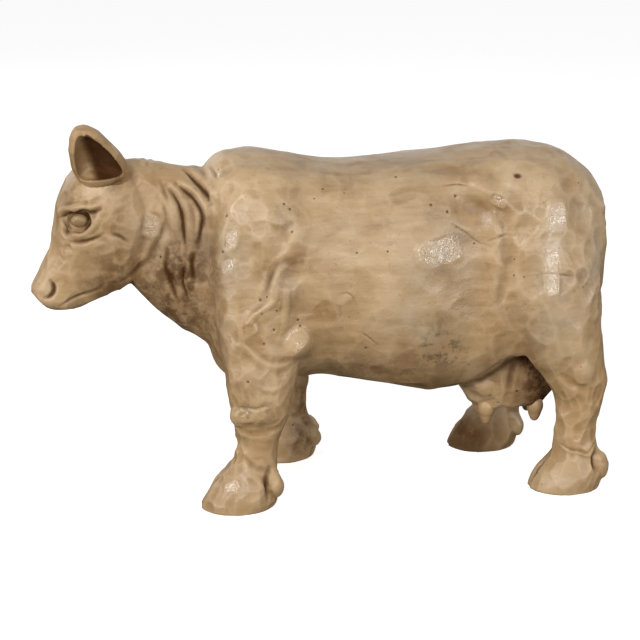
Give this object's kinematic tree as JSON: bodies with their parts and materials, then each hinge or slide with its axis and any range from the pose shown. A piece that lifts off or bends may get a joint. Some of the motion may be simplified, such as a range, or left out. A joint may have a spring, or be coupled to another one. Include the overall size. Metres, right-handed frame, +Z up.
{
  "type": "cow figurine",
  "caption": "Carved wooden cow in a walking stance, built from doweled blocks, with cupped ears, udder, tail and cloven hooves, to stand on a shelf.",
  "frame": {"origin": "on the floor plane of the soles, under the middle of the figure's bounding box", "axes": "+X from the nose towards the tail, -Y towards the cow's left side, +Z up"},
  "size_m": [0.2861, 0.087, 0.1891],
  "materials": {
    "carved_wood": "knife-carved, pale waxed, satin",
    "eye_wood": "polished, waxed",
    "dowel_wood": "bare"
  },
  "bodies": {
    "root": {"trunk": "carved_wood", "head": "carved_wood", "left_ear": "carved_wood", "right_ear": "carved_wood", "left_fore_leg": "carved_wood", "right_fore_leg": "carved_wood", "left_hind_leg": "carved_wood", "right_hind_leg": "carved_wood", "udder": "carved_wood", "front_left_teat": "carved_wood", "front_right_teat": "carved_wood", "rear_left_teat": "carved_wood", "rear_right_teat": "carved_wood", "tail": "carved_wood", "left_eye": "eye_wood", "right_eye": "eye_wood", "neck_dowels": "dowel_wood", "fore_leg_dowels": "dowel_wood", "hind_leg_dowels": "dowel_wood", "udder_dowel": "dowel_wood"}
  },
  "joints": []
}
